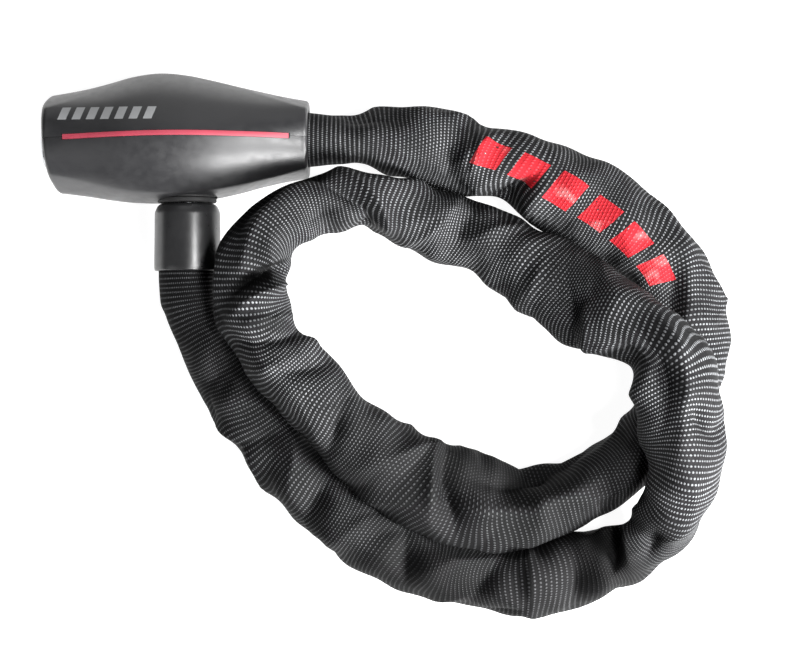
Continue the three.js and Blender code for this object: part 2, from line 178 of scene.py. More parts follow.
def copy_of(source, name, shift=(0, 0, 0)):
    made = add_object(name, source.data.copy())
    made.data.transform(Matrix.Translation(Vector(shift) * MM))
    return made


def grid_faces(rows, columns):
    """Faces of a grid of rows x columns vertices, whose last column joins the first."""
    faces = []
    for i in range(rows - 1):
        for j in range(columns):
            k = (j + 1) % columns
            faces.append((i * columns + j, i * columns + k, (i + 1) * columns + k, (i + 1) * columns + j))
    return faces


def rounded(profile, radius, steps=4):
    """A closed profile with each corner cut back and rounded by up to radius."""
    points = [np.array(p, float) for p in profile]
    made = []
    for before, corner, after in zip(points[-1:] + points[:-1], points, points[1:] + points[:1]):
        back, on = before - corner, after - corner
        room = min(radius, 0.45 * np.linalg.norm(back), 0.45 * np.linalg.norm(on))
        start = corner + back / np.linalg.norm(back) * room
        end = corner + on / np.linalg.norm(on) * room
        for t in np.linspace(0, 1, steps + 1):
            made.append((1 - t) ** 2 * start + 2 * t * (1 - t) * corner + t ** 2 * end)
    return made


def turned(name, axis, profile, centre, fillet=0.3, sides=96):
    """A ring or disc about x or y: profile is a closed list of (radius, place along the axis), in mm."""
    corners = rounded(profile, fillet) if fillet else [np.array(p, float) for p in profile]
    angles = np.linspace(0, 2 * math.pi, sides, endpoint=False)
    vertices = []
    for radius, along in corners:
        for a in angles:
            place = {
                "x": (along, radius * math.cos(a), radius * math.sin(a)),
                "y": (radius * math.sin(a), along, radius * math.cos(a)),
            }[axis]
            vertices.append(np.array(place) + np.array(centre))
    faces = grid_faces(len(corners), sides)
    base = (len(corners) - 1) * sides
    for j in range(sides):
        k = (j + 1) % sides
        faces.append((base + j, base + k, k, j))
    made = mesh_object(name, vertices, faces)
    weld(made)
    return made


def weld(made):
    """Joins the corners that lie on each other, and turns every face outward."""
    work = bmesh.new()
    work.from_mesh(made.data)
    bmesh.ops.remove_doubles(work, verts=work.verts, dist=0.001 * MM)
    bare = [edge for edge in work.edges if not edge.link_faces]
    bmesh.ops.delete(work, geom=bare, context="EDGES")
    bmesh.ops.recalc_face_normals(work, faces=work.faces)
    work.to_mesh(made.data)
    work.free()
    shade(made)


def block(name, low, high):
    """A box from corner to corner, in mm."""
    (x0, y0, z0), (x1, y1, z1) = low, high
    vertices = [(x, y, z) for x in (x0, x1) for y in (y0, y1) for z in (z0, z1)]
    faces = [(0, 1, 3, 2), (4, 6, 7, 5), (0, 4, 5, 1), (2, 3, 7, 6), (0, 2, 6, 4), (1, 5, 7, 3)]
    made = mesh_object(name, vertices, faces)
    weld(made)
    return made


# The route

def route_points():
    """The route as one smooth curve (centripetal Catmull-Rom), in mm."""
    per_span = 24
    given = np.array(ROUTE) / MM
    given = np.vstack([2 * given[0] - given[1], given, 2 * given[-1] - given[-2]])
    made = []
    for p0, p1, p2, p3 in zip(given, given[1:], given[2:], given[3:]):
        t1 = np.linalg.norm(p1 - p0) ** 0.5
        t2 = t1 + np.linalg.norm(p2 - p1) ** 0.5
        t3 = t2 + np.linalg.norm(p3 - p2) ** 0.5
        for t in np.linspace(t1, t2, per_span, endpoint=False):
            a1 = (t1 - t) / t1 * p0 + t / t1 * p1
            a2 = (t2 - t) / (t2 - t1) * p1 + (t - t1) / (t2 - t1) * p2
            a3 = (t3 - t) / (t3 - t2) * p2 + (t - t2) / (t3 - t2) * p3
            b1 = (t2 - t) / t2 * a1 + t / t2 * a2
            b2 = (t3 - t) / (t3 - t1) * a2 + (t - t1) / (t3 - t1) * a3
            made.append((t2 - t) / (t2 - t1) * b1 + (t - t1) / (t2 - t1) * b2)
    made.append(given[-2])
    return np.array(made)


def resample(points, count):
    """count points spaced evenly along a curve, and their distances along it."""
    steps = np.concatenate([[0], np.cumsum(np.linalg.norm(np.diff(points, axis=0), axis=1))])
    at = np.linspace(0, steps[-1], count)
    return at, np.stack([np.interp(at, steps, points[:, i]) for i in range(3)], 1)


def smoothstep(x, low, high):
    t = np.clip((x - low) / (high - low), 0, 1)
    return t * t * (3 - 2 * t)


def smooth_list(values, at):
    """Values given every 10 mm, read smoothly at the places at."""
    given = np.array(values, float)
    x = at / 10
    i = np.clip(np.floor(x).astype(int), 0, len(given) - 2)
    t = np.clip(x - i, 0, 1)
    before = given[np.clip(i - 1, 0, len(given) - 1)]
    after = given[np.clip(i + 2, 0, len(given) - 1)]
    a, b = given[i], given[i + 1]
    return 0.5 * (2 * a + (b - before) * t + (2 * before - 5 * a + 4 * b - after) * t ** 2
                  + (3 * a - before - 3 * b + after) * t ** 3)


# The sleeve

def crease_height(s, across, crease, on_top):
    """The height in mm that one crease gives at distance s along the sleeve and at across."""
    place, side, angle, half_length, half_width, height = crease
    c, d = math.cos(math.radians(angle)), math.sin(math.radians(angle))
    u = (s - place) * c + (across - side) * d
    v = -(s - place) * d + (across - side) * c
    return height * np.exp(-((u / half_length) ** 2) - (np.abs(v) / half_width) ** 1.35) * on_top


def keep_strands_apart(points, centres, at):
    """Presses the two laps of the sleeve flat against each other where they meet. The lap that runs higher
    leans over the other, so the surface between them slants."""
    lean = math.radians(35.0)  # the least slant between two laps at different heights
    touching = 36  # mm between centre lines: strands further apart don't meet
    same_strand = 50  # mm along the route: points nearer than this are on one strand
    first = at < FIRST_LAP
    moved = points.copy()
    for lap in (first, ~first):
        own = np.where(lap)[0]
        other = np.where(~lap)[0][::3]
        near = np.linalg.norm(centres[own][:, None] - centres[other][None], axis=2)
        apart = np.abs(at[own][:, None] - at[other][None])
        near[apart < same_strand] = 1e9
        pick = near.argmin(1)
        distance = near[np.arange(len(own)), pick]
        close = distance < touching
        own, q = own[close], centres[other[pick[close]]]
        c = centres[own]
        flat = q - c
        rise = flat[:, 2].copy()
        flat[:, 2] = 0
        reach = np.linalg.norm(flat, axis=1)
        flat /= np.maximum(reach, 1e-6)[:, None]
        steep = np.arctan2(np.abs(rise), np.maximum(reach, 1e-6))
        steep = np.maximum(steep, lean * smoothstep(np.abs(rise), 0.0, 2.5))
        normal = flat * np.cos(steep)[:, None]
        normal[:, 2] = np.sin(steep) * np.sign(rise)
        middle = (c + q) / 2
        over = ((moved[own] - middle[:, None]) * normal[:, None]).sum(2) + SEAM_GAP
        press = np.where(over > 0, over, 0)
        moved[own] -= normal[:, None] * press[..., None]
    return moved


def chain_reach(centres, directions):
    """How far the chain's links reach from the centre line, in mm, at every ring and in every direction."""
    links = []
    for name, node in frame["nodes"].items():
        if name.startswith("chain_link"):
            mesh = node.data
            corners = [node.matrix_world @ v.co / MM for v in mesh.vertices]
            tree = BVHTree.FromPolygons(corners, [tuple(p.vertices) for p in mesh.polygons])
            middle = np.mean([tuple(c) for c in corners], axis=0)
            links.append((int(np.linalg.norm(centres - middle, axis=1).argmin()), tree))
    reach = np.zeros(directions.shape[:2])
    outside = 14.0  # mm from the centre line, past every link
    half_link = round(15 / np.linalg.norm(centres[1] - centres[0]))  # in rings, a little over half a link
    for nearest, tree in links:
        for i in range(max(0, nearest - half_link), min(len(centres), nearest + half_link + 1)):
            for j in range(directions.shape[1]):
                way = Vector(directions[i, j])
                hit = tree.ray_cast(Vector(centres[i]) + way * outside, -way, outside)
                if hit[0] is not None:
                    reach[i, j] = max(reach[i, j], outside - hit[3])
    for axis in (0, 1):
        reach = np.maximum(reach, np.maximum(np.roll(reach, 1, axis), np.roll(reach, -1, axis)))
    return reach


def sleeve_section(at, length, theta):
    """The sleeve's section before its folds: x across the route and y up from it, in mm."""
    outer = smooth_list(OUTER_HALF, at)
    inner = smooth_list(INNER_HALF, at)
    height = np.clip(SLACK_HEIGHT - (outer + inner) / 2, 9.2, 11.2)
    slack = smoothstep(at, 12, 30) * (1 - smoothstep(at, length - 34, length - 18))
    height = TIGHT_HALF + (height - TIGHT_HALF) * slack
    # The casing and the cap hold the two ends round.
    held = np.maximum(1 - smoothstep(at, 8, 10), smoothstep(at, length - 17, length - 14))
    held_radius = np.where(at < length / 2, 8.35, 8.65)
    outer = outer + (held_radius - outer) * held
    inner = inner + (held_radius - inner) * held
    height = height + (held_radius - height) * held

    squareness = 2 / (2 + 0.25 * slack)[:, None]
    cos, sin = np.cos(theta)[None], np.sin(theta)[None]
    side = np.sign(cos) * np.abs(cos) ** squareness
    rise = np.sign(sin) * np.abs(sin) ** squareness
    return side * np.where(side > 0, outer[:, None], inner[:, None]), rise * height[:, None]


def sleeve_folds(at, length, theta, x):
    """How far the cloth stands out (or in, below zero) from its plain section at every point, in mm."""
    s = np.broadcast_to(at[:, None], x.shape)
    on_top = smoothstep(np.sin(theta)[None], -0.15, 0.35) * np.ones_like(x)
    swell = np.zeros_like(x)
    for crease in CREASES:
        swell += crease_height(s, x, crease, on_top)

    # The links inside show as low swellings, one to each link.
    swell += 0.45 * np.cos(2 * math.pi * s / LINK_WAVE) * np.cos(2 * theta[None] + 0.6)

    # Slack cloth falls into long flat facets with ridges between them, which wander round the sleeve.
    draw = np.random.default_rng(11)
    drift, strength = np.zeros_like(at), np.full_like(at, 0.62)
    for wave in (118.0, 71.0, 43.0):
        phase = draw.uniform(0, 2 * math.pi, 2)
        drift += 0.42 * np.sin(2 * math.pi * at / wave + phase[0])
        strength += 0.20 * np.sin(2 * math.pi * at / (0.6 * wave) + phase[1])
    ridges = 0.62 - np.abs(np.sin(2 * (theta[None] - drift[:, None])))
    swell += FACET_HEIGHT * np.clip(strength, 0.1, 1.2)[:, None] * ridges

    # Small creases lie all over it, and low waves run along it and round it.
    small_creases, round_mm = 120, 10.5
    for _ in range(small_creases):
        place, middle = draw.uniform(20, length - 24), draw.uniform(0, 2 * math.pi)
        tilt = draw.choice([-1, 1]) * draw.uniform(35, 95)
        half_length, half_width = draw.uniform(4, 10), draw.uniform(1.2, 3.0)
        depth = draw.uniform(-1.5, 0.9)
        around = (np.mod(theta - middle + math.pi, 2 * math.pi) - math.pi)[None] * round_mm
        swell += crease_height(s, around, (place, 0, tilt, half_length, half_width, depth), 1.0)
    for wave, amount in ((27.0, 0.35), (11.0, 0.22)):
        for turns in (1, 2, 3):
            phase = draw.uniform(0, 2 * math.pi, 2)
            lengthwise = amount * np.sin(2 * math.pi * s / wave + phase[0])
            swell += lengthwise * np.cos(turns * theta[None] + phase[1]) / 1.7
    swell *= (smoothstep(at, 14, 24) * (1 - smoothstep(at, length - 30, length - 20)))[:, None]
    return swell


def make_sleeve():
    """The sleeve as one skin of rings round the route, and the centres of the rings."""
    route = route_points()
    length = np.linalg.norm(np.diff(route, axis=0), axis=1).sum()
    rows = round(length / ROW_PITCH)
    at, centres = resample(route, 2 * rows + 1)
    along = np.gradient(centres, axis=0)
    along /= np.linalg.norm(along, axis=1)[:, None]
    across = np.cross((0, 0, 1), along)
    across /= np.linalg.norm(across, axis=1)[:, None]
    up = np.cross(along, across)
    theta = np.linspace(0, 2 * math.pi, THREADS, endpoint=False)

    x, y = sleeve_section(at, length, theta)
    radius = np.sqrt(x ** 2 + y ** 2)
    way = (across[:, None] * x[..., None] + up[:, None] * y[..., None]) / radius[..., None]
    # A hollow goes no deeper than the chain inside.
    lowest = np.maximum(chain_reach(centres, way) + CHAIN_ROOM, THINNEST)
    swell = np.clip(sleeve_folds(at, length, theta, x), lowest - radius, np.maximum(WIDEST - radius, 0))
    points = centres[:, None] + way * (radius + swell)[..., None]

    points = keep_strands_apart(points, centres, at)
    # The floor presses the underside flat.
    points[..., 2] = np.maximum(points[..., 2], FLOOR_ROOM)
    points = clear_of_cap(points, at, length)

    faces = grid_faces(len(at), THREADS)
    sleeve = mesh_object("woven_sleeve", points.reshape(-1, 3), faces, smooth_angle=180)
    add_thread_map(sleeve, at, theta)
    return sleeve, centres


def clear_of_cap(points, at, length):
    """Keeps the strand beside the plug cap outside the cap, and the sleeve's own end inside it, also when the
    plug is drawn out."""
    cap_x, cap_radius, bore = 3.4, 10.3, 8.72
    drawn_rim, cap_reach = -49.3, -50.5  # y of the drawn cap's rim, and of the last point that it can touch
    dx, dz = points[..., 0] - cap_x, points[..., 2] - AXIS_Z
    distance = np.maximum(np.sqrt(dx ** 2 + dz ** 2), 1e-6)
    beside = (points[..., 1] > cap_reach) & (at < length - 60)[:, None] & (distance < cap_radius)
    push = np.where(beside, cap_radius / distance, 1)
    room = bore + 0.6 * np.maximum(drawn_rim - points[..., 1], 0)
    push = np.where((at > length - 30)[:, None] & (distance > room), room / distance, push)
    points[..., 0] = cap_x + dx * push
    points[..., 2] = AXIS_Z + dz * push
    return points


def add_thread_map(sleeve, at, theta):
    """Two UV maps, both with threads round the sleeve as u. In the first v counts the woven rows, which lie
    askew where the cloth is pulled. In the second v is the distance along the sleeve in mm."""
    draw = np.random.default_rng(5)
    row = np.repeat(at[:, None] / ROW_PITCH, THREADS, axis=1)
    pulled = smoothstep(at, 5, 50) * (1 - smoothstep(at, at[-1] - 50, at[-1] - 5))
    # Each wave: its length in mm, its repeats round the sleeve, and how many rows it moves the weave.
    waves = ((90, 1, 1.5), (47, 1, 0.9), (63, 2, 1.0), (31, 2, 0.5), (52, 0, 0.6), (38, 3, 0.3))
    for wave, turns, rows in waves:
        phase = draw.uniform(0, 2 * math.pi, 2)
        lengthwise = pulled * np.sin(2 * math.pi * at / wave + phase[0])
        row += rows * lengthwise[:, None] * np.cos(turns * theta + phase[1])
    straight = np.repeat(at[:, None], THREADS, axis=1)
    mesh = sleeve.data
    index = np.zeros(len(mesh.loops), int)
    mesh.loops.foreach_get("vertex_index", index)
    thread = index % THREADS
    face = np.arange(len(index)) // 4
    wrapped = (face % THREADS) == THREADS - 1
    u = np.where(wrapped & (thread == 0), THREADS, thread).astype(float)
    for name, rows in (("threads", row), ("print", straight)):
        uv = np.stack([u, rows.ravel()[index]], 1)
        mesh.uv_layers.new(name=name).data.foreach_set("uv", uv.astype(np.float32).ravel())


# The casing: the outline's edges, creases and ridge in mm, each at the x of STATIONS.

STATIONS = [-38.8, -30, -22, -13, -5, 3, 11, 19, 26, 33, 38.8]
UPPER_EDGE = [13.6, 15.2, 17.0, 19.2, 20.2, 19.6, 18.0, 16.1, 14.5, 13.0, 12.0]
LOWER_EDGE = [-15.9, -16.9, -17.9, -18.7, -18.9, -18.6, -17.6, -15.9, -14.0, -12.4, -11.4]
UPPER_CREASE_Y = [9.0, 11.8, 15.2, 18.6, 20.0, 19.4, 17.7, 15.5, 13.2, 11.0, 9.2]
UPPER_CREASE_Z = [25.0, 22.6, 19.2, 16.8, 16, 16, 16.4, 17.6, 19.6, 21.6, 23.0]
LOWER_CREASE_Y = [-11.4, -13.2, -15.0, -16.6, -17.2, -17.0, -16.0, -14.6, -12.9, -11.0, -9.2]
LOWER_CREASE_Z = [23.2, 23.0, 23.0, 23.6, 24.6, 24.8, 24.4, 23.2, 22.4, 22.2, 22.2]
RIDGE_Y = [-0.4, -0.2, 0.1, 0.4, 0.6, 0.7, 0.7, 0.6, 0.5, 0.3, 0.1]
RIDGE_Z = [27.2, 29.2, 30.7, 31.9, 32.4, 32.2, 31.3, 29.9, 28.4, 26.8, 25.5]


def spline(values, x):
    """A smooth curve through values at STATIONS."""
    xs, ys = np.array(STATIONS), np.array(values, float)
    slopes = np.gradient(ys, xs)
    i = np.clip(np.searchsorted(xs, x) - 1, 0, len(xs) - 2)
    span = xs[i + 1] - xs[i]
    t = (x - xs[i]) / span
    return ((2 * t ** 3 - 3 * t ** 2 + 1) * ys[i] + (t ** 3 - 2 * t ** 2 + t) * span * slopes[i]
            + (-2 * t ** 3 + 3 * t ** 2) * ys[i + 1] + (t ** 3 - t ** 2) * span * slopes[i + 1])


def bowed(start, end, bow, count):
    """count points from start towards end, on a curve whose middle stands out by bow times its length."""
    start, end = np.array(start), np.array(end)
    chord = end - start
    out = np.array([-chord[1], chord[0]])
    t = np.linspace(0, 1, count, endpoint=False)[:, None]
    return start + chord * t + out * bow * 4 * t * (1 - t)


def casing_section(x):
    """The casing's outline across the body at x, as (y, z) points, from the ridge over the upper side."""
    ridge = (spline(RIDGE_Y, x), spline(RIDGE_Z, x))
    upper_crease = (spline(UPPER_CREASE_Y, x), spline(UPPER_CREASE_Z, x))
    lower_crease = (spline(LOWER_CREASE_Y, x), spline(LOWER_CREASE_Z, x))
    upper_side, lower_side = (spline(UPPER_EDGE, x), 14.5), (spline(LOWER_EDGE, x), 14.0)
    tuck = 5.5  # mm from each side in to the edge of the flat back
    upper_back, lower_back = (upper_side[0] - tuck, 0.0), (lower_side[0] + tuck, 0.0)
    outline = np.vstack([
        bowed(ridge, upper_crease, 0.115, 34),
        bowed(upper_crease, upper_side, 0.03, 8),
        bowed(upper_side, upper_back, 0.14, 20),
        bowed(upper_back, lower_back, 0.0, 22),
        bowed(lower_back, lower_side, 0.14, 20),
        bowed(lower_side, lower_crease, 0.03, 8),
        bowed(lower_crease, ridge, 0.10, 38),
    ])
    for _ in range(2):
        outline = 0.25 * np.roll(outline, 1, 0) + 0.5 * outline + 0.25 * np.roll(outline, -1, 0)
    return outline


def casing_solid(name, scale=1.0, shorten=0.0):
    """The whole body as one closed shape. A scale below 1 draws it in for the hollow inside."""
    end, corner = 40.1 - shorten, 1.2  # mm: half the length, and the radius round both ends
    from_end = corner * (1 - np.cos(np.linspace(0, math.pi / 2, 7)))
    places = np.concatenate([-end + from_end, np.linspace(-end + corner, end - corner, 150)[1:-1],
                             (end - from_end)[::-1]])
    rings = []
    centre = np.array([0.0, AXIS_Z])
    for x in places:
        outline = casing_section(np.clip(x, STATIONS[0], STATIONS[-1]))
        depth = max(0.0, corner - (end - abs(x)))
        inset = corner - math.sqrt(max(0.0, corner ** 2 - depth ** 2))
        offset = outline - centre
        outline = centre + offset * scale * (1 - inset / np.linalg.norm(offset, axis=1))[:, None]
        # The left end draws back towards its sides and its top.
        drawn_back = np.where(outline[:, 0] > 3.6, 0.018, 0.0105) * (outline[:, 0] - 3.6) ** 2
        drawn_back += 0.02 * np.maximum(outline[:, 1] - 19, 0) ** 2
        xs = x + drawn_back * smoothstep(-x, 10, end)
        rings.append(np.stack([xs, outline[:, 0], outline[:, 1]], 1))
    count = len(rings[0])
    vertices = np.vstack(rings)
    faces = grid_faces(len(rings), count)
    first_middle, last_middle = rings[0].mean(0), rings[-1].mean(0)
    vertices = np.vstack([vertices, first_middle, last_middle])
    base = (len(rings) - 1) * count
    for j in range(count):
        k = (j + 1) % count
        faces.append((len(vertices) - 2, k, j))
        faces.append((len(vertices) - 1, base + j, base + k))
    made = mesh_object(name, vertices, faces)
    weld(made)
    return made


def along_ridge(name, low, high, from_x, to_x, bottom, top):
    """A bar along the ridge: low and high are its sides' distances from the ridge line, in mm."""
    places = np.linspace(from_x, to_x, 80)
    rings = []
    for x in places:
        y = spline(RIDGE_Y, np.clip(x, STATIONS[0], STATIONS[-1]))
        rings.append([(x, y + low, bottom), (x, y + high, bottom), (x, y + high, top), (x, y + low, top)])
    vertices = np.array(rings).reshape(-1, 3)
    faces = grid_faces(len(places), 4) + [(3, 2, 1, 0)]
    faces.append(tuple(4 * (len(places) - 1) + i for i in range(4)))
    made = mesh_object(name, vertices, faces)
    weld(made)
    return made


def make_casing():
    """The two halves of the casing, the red inlay on its ridge, and the shape of the hollow inside."""
    whole = casing_solid("casing_whole")
    hollow = casing_solid("casing_hollow", scale=0.875, shorten=2.2)

    groove = along_ridge("groove", -0.86, 0.86, -32.7, 34.9, 20, 40)
    groove = cut(groove, copy_of(whole, "lowered", (0, 0, -0.95)))
    inlay = along_ridge("ridge_stripe", -0.76, 0.76, -32.5, 34.6, 20, 40)
    inlay = cut(inlay, copy_of(whole, "lowered", (0, 0, -0.1)), "INTERSECT")
    inlay = cut(inlay, copy_of(whole, "lowered", (0, 0, -0.85)))
    shade(inlay, 40)

    low, high = [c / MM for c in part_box("keyway_bezel")]
    bezel_radius = (high[1] - low[1]) / 2
    seal_low, seal_high = [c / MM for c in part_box("socket_seal")]
    seal_radius = (seal_high[0] - seal_low[0]) / 2
    plug_x = (seal_high[0] + seal_low[0]) / 2
    room, sleeve_hole = 0.25, 8.75  # mm: room round the bezel and the seal, and the radius round the sleeve
    keyway, socket = bezel_radius + room, seal_radius + room
    openings = (
        ("keyway_hole", "x", 0, [(0, -CASING_END), (keyway, -CASING_END), (keyway, -36), (0, -36)]),
        ("chain_hole", "x", 0, [(0, 36), (sleeve_hole, 36), (sleeve_hole, 39.4), (9.3, 40.6),
                                (9.3, CASING_END), (0, CASING_END)]),
        ("socket_hole", "y", plug_x, [(0, -25), (socket, -25), (socket, -14.5), (0, -14.5)]),
    )
    shell = cut(whole, hollow, keep_tool=True)
    shell = cut(shell, groove)
    for name, axis, x, profile in openings:
        shell = cut(shell, turned(name, axis, profile, (x, 0, AXIS_Z), fillet=0))
    upper = copy_of(shell, "casing_upper_shell")
    lower = shell
    lower.name = "casing_lower_shell"
    cut(upper, along_ridge("upper_side", SEAM_GAP / 2, 60, -50, 50, -10, 50), "INTERSECT")
    cut(lower, along_ridge("lower_side", -60, -SEAM_GAP / 2, -50, 50, -10, 50), "INTERSECT")
    for half in (upper, lower):
        shade(half, 28)
    return upper, lower, inlay, hollow


def make_housing(hollow):
    """The zinc block of the CAD model, trimmed to the inside of the moulded casing."""
    housing = copy_of(frame["nodes"]["lock_housing"], "zinc_lock_housing")
    weld(housing)
    hollow.data.transform(Matrix.Scale(0.985, 4))
    cut(housing, hollow, "INTERSECT")
    shade(housing, 30)
    return housing


def make_keyway_end():
    """The ring round the key cylinder's face, and the core with its keyway and wafer slots."""
    low, high = [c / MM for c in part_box("keyway_bezel")]
    outer = (high[1] - low[1]) / 2
    bezel = turned("keyway_bezel_ring", "x", [
        (5.1, high[0]), (outer, high[0]), (outer, low[0] + 0.5), (outer - 0.6, low[0]), (6.6, low[0]),
        (5.9, low[0] + 0.7), (5.1, low[0] + 0.9)], (0, 0, AXIS_Z), fillet=0.15)
    low, high = [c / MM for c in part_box("cylinder_core")]
    radius = (high[1] - low[1]) / 2
    core = turned("keyed_core", "x", [
        (0, high[0]), (1.6, high[0]), (1.6, -13.6), (radius, -13.6), (radius, low[0] + 0.4),
        (radius - 0.4, low[0]), (0, low[0])], (0, 0, AXIS_Z), fillet=0.12)
    slot = block("slot", (-50, -0.8, AXIS_Z - 3.2), (-17, 0.8, AXIS_Z + 3.2))
    cut(core, slot)
    cut(core, block("left_groove", (-50, -1.5, AXIS_Z + 0.5), (-17, 0, AXIS_Z + 1.3)))
    cut(core, block("right_groove", (-50, 0, AXIS_Z - 1.5), (-17, 1.5, AXIS_Z - 0.7)))
    for place in range(4):
        x = -34 + 4 * place
        cut(core, block("wafer_slot", (x - 0.8, -2, AXIS_Z - 3.9), (x + 0.8, 2, AXIS_Z + 3.9)))
    shade(core, 30)
    return bezel, core


# The plug

def make_plug():
    """The plug's cap, the rubber ring at the socket, and the grooved bolt with its fork."""
    low, high = [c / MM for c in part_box("plug_cap")]
    plug_x = (low[0] + high[0]) / 2
    centre = (plug_x, 0, AXIS_Z)
    radius, top, rim = (high[0] - low[0]) / 2, high[1], low[1]
    cap = turned("plug_cap_shell", "y", [
        (4.3, top - 2.2), (8.9, top - 2.2), (8.9, rim), (radius - 0.1, rim), (radius + 0.1, rim + 1.2),
        (radius, rim + 8), (radius - 0.1, top - 2.6), (radius - 0.9, top - 0.8), (radius - 1.9, top),
        (4.3, top)], centre, fillet=0.7, sides=128)
    low, high = [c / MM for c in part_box("socket_seal")]
    outer = (high[0] - low[0]) / 2
    middle = (low[1] + high[1]) / 2
    seal = turned("rubber_seal", "y", [
        (5.2, high[1]), (outer, high[1]), (outer, middle + 0.5), (outer - 0.5, middle + 0.3),
        (outer - 0.5, middle - 0.2), (outer, middle - 0.4), (outer, low[1] + 0.3), (outer - 0.4, low[1]),
        (5.2, low[1])], centre, fillet=0.2)
    low, high = [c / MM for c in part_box("plug_bolt")]
    tip, fork_end, flange = high[1], low[1], (high[0] - low[0]) / 2
    flange_top = -21.9
    bolt = turned("steel_bolt", "y", [
        (0, flange_top - 2.5), (flange, flange_top - 2.5), (flange, flange_top), (4, flange_top), (4, -13.8),
        (2.2, -13.8), (2.2, -11.4), (4, -11.4), (4, tip - 1), (3, tip), (0, tip)], centre, fillet=0.15)
    fork = block("fork", (plug_x - 6.3, fork_end, AXIS_Z - 3), (plug_x + 6.3, flange_top - 2, AXIS_Z + 3))
    cut(fork, block("room", (plug_x - 3.8, -90, AXIS_Z - 8), (plug_x + 3.8, flange_top - 2.5, AXIS_Z + 8)))
    cut(bolt, fork, "UNION")
    pin_centre = (plug_x, -40.5, AXIS_Z)
    cut(bolt, turned("pin_hole", "x", [(0, -9), (2.3, -9), (2.3, 9), (0, 9)], pin_centre, fillet=0))
    shade(bolt, 30)
    return cap, seal, bolt


# Materials

class Nodes:
    """A small helper that adds shader nodes and links them."""

    def __init__(self, name):
        self.material = bpy.data.materials.new(name)
        self.material.use_nodes = True
        self.tree = self.material.node_tree
        self.shader = self.tree.nodes["Principled BSDF"]

    def put(self, value, socket):
        if isinstance(value, bpy.types.NodeSocket):
            self.tree.links.new(value, socket)
        else:
            socket.default_value = value

    def math(self, operation, *values):
        node = self.tree.nodes.new("ShaderNodeMath")
        node.operation = operation
        for i, value in enumerate(values):
            self.put(value, node.inputs[i])
        return node.outputs[0]

    def ramp(self, value, low, high, to_low=0.0, to_high=1.0, smooth=True):
        node = self.tree.nodes.new("ShaderNodeMapRange")
        node.interpolation_type = "SMOOTHSTEP" if smooth else "LINEAR"
        for name, given in (("Value", value), ("From Min", low), ("From Max", high),
                            ("To Min", to_low), ("To Max", to_high)):
            self.put(given, node.inputs[name])
        return node.outputs["Result"]

    def mix(self, share, a, b):
        node = self.tree.nodes.new("ShaderNodeMix")
        node.data_type = "RGBA"
        self.put(share, node.inputs["Factor"])
        self.put(a, node.inputs["A"])
        self.put(b, node.inputs["B"])
        return node.outputs["Result"]

    def noise(self, scale, detail=4.0, vector=None, stretch=None):
        if stretch is not None:
            mapping = self.tree.nodes.new("ShaderNodeMapping")
            self.put(vector or self.object_place(), mapping.inputs["Vector"])
            mapping.inputs["Scale"].default_value = stretch
            vector = mapping.outputs["Vector"]
        node = self.tree.nodes.new("ShaderNodeTexNoise")
        self.put(vector or self.object_place(), node.inputs["Vector"])
        node.inputs["Scale"].default_value = scale
        node.inputs["Detail"].default_value = detail
        return node.outputs["Fac"]

    def object_place(self):
        node = self.tree.nodes.new("ShaderNodeTexCoord")
        return node.outputs["Object"]

    def uv_map(self, name):
        node = self.tree.nodes.new("ShaderNodeUVMap")
        node.uv_map = name
        return node.outputs["UV"]

    def split(self, vector):
        node = self.tree.nodes.new("ShaderNodeSeparateXYZ")
        self.put(vector, node.inputs[0])
        return node.outputs

    def bump(self, height, strength, distance):
        node = self.tree.nodes.new("ShaderNodeBump")
        node.inputs["Strength"].default_value = strength
        node.inputs["Distance"].default_value = distance
        self.put(height, node.inputs["Height"])
        self.put(node.outputs["Normal"], self.shader.inputs["Normal"])

    def finish(self, colour, roughness, metallic=0.0):
        self.put(colour, self.shader.inputs["Base Color"])
        self.put(roughness, self.shader.inputs["Roughness"])
        self.shader.inputs["Metallic"].default_value = metallic
        return self.material


def moulded_plastic(name, colour, roughness, grain=0.25, mark=False):
    """Satin plastic with a fine grain, and with the casing's mark if asked."""
    n = Nodes(name)
    broad = n.noise(60, 3)
    fine = n.noise(2600, 2)
    darker = tuple(c * 0.8 for c in colour[:3]) + (1,)
    shade_of = n.mix(n.ramp(broad, 0.3, 0.7), darker, colour)
    rough = n.ramp(n.noise(420, 3), 0.25, 0.75, roughness - 0.04, roughness + 0.05)
    if mark:
        shade_of = n.mix(casing_mark(n), shade_of, (0.24, 0.245, 0.25, 1))
    n.bump(fine, grain, 0.00005)
    n.shader.inputs["Specular IOR Level"].default_value = 0.75
    return n.finish(shade_of, rough)


def casing_mark(n):
    """A plain row of slanted bars, printed on the upper facet."""
    place = n.split(n.object_place())
    x, y = n.math("MULTIPLY", place[0], 1000), n.math("MULTIPLY", place[1], 1000)
    slanted = n.math("SUBTRACT", x, n.math("MULTIPLY", y, 0.35))
    pitch, first, count = 4.3, -35.8, 7
    step = n.math("FRACT", n.math("DIVIDE", n.math("SUBTRACT", slanted, first), pitch))
    bars = n.math("LESS_THAN", step, 0.6)
    inside_x = n.math("MULTIPLY", n.math("GREATER_THAN", slanted, first),
                      n.math("LESS_THAN", slanted, first + count * pitch))
    inside_y = n.math("MULTIPLY", n.math("GREATER_THAN", y, 4.9), n.math("LESS_THAN", y, 8.7))
    front = n.math("GREATER_THAN", place[2], AXIS_Z * MM)
    return n.math("MULTIPLY", n.math("MULTIPLY", bars, inside_x), n.math("MULTIPLY", inside_y, front))


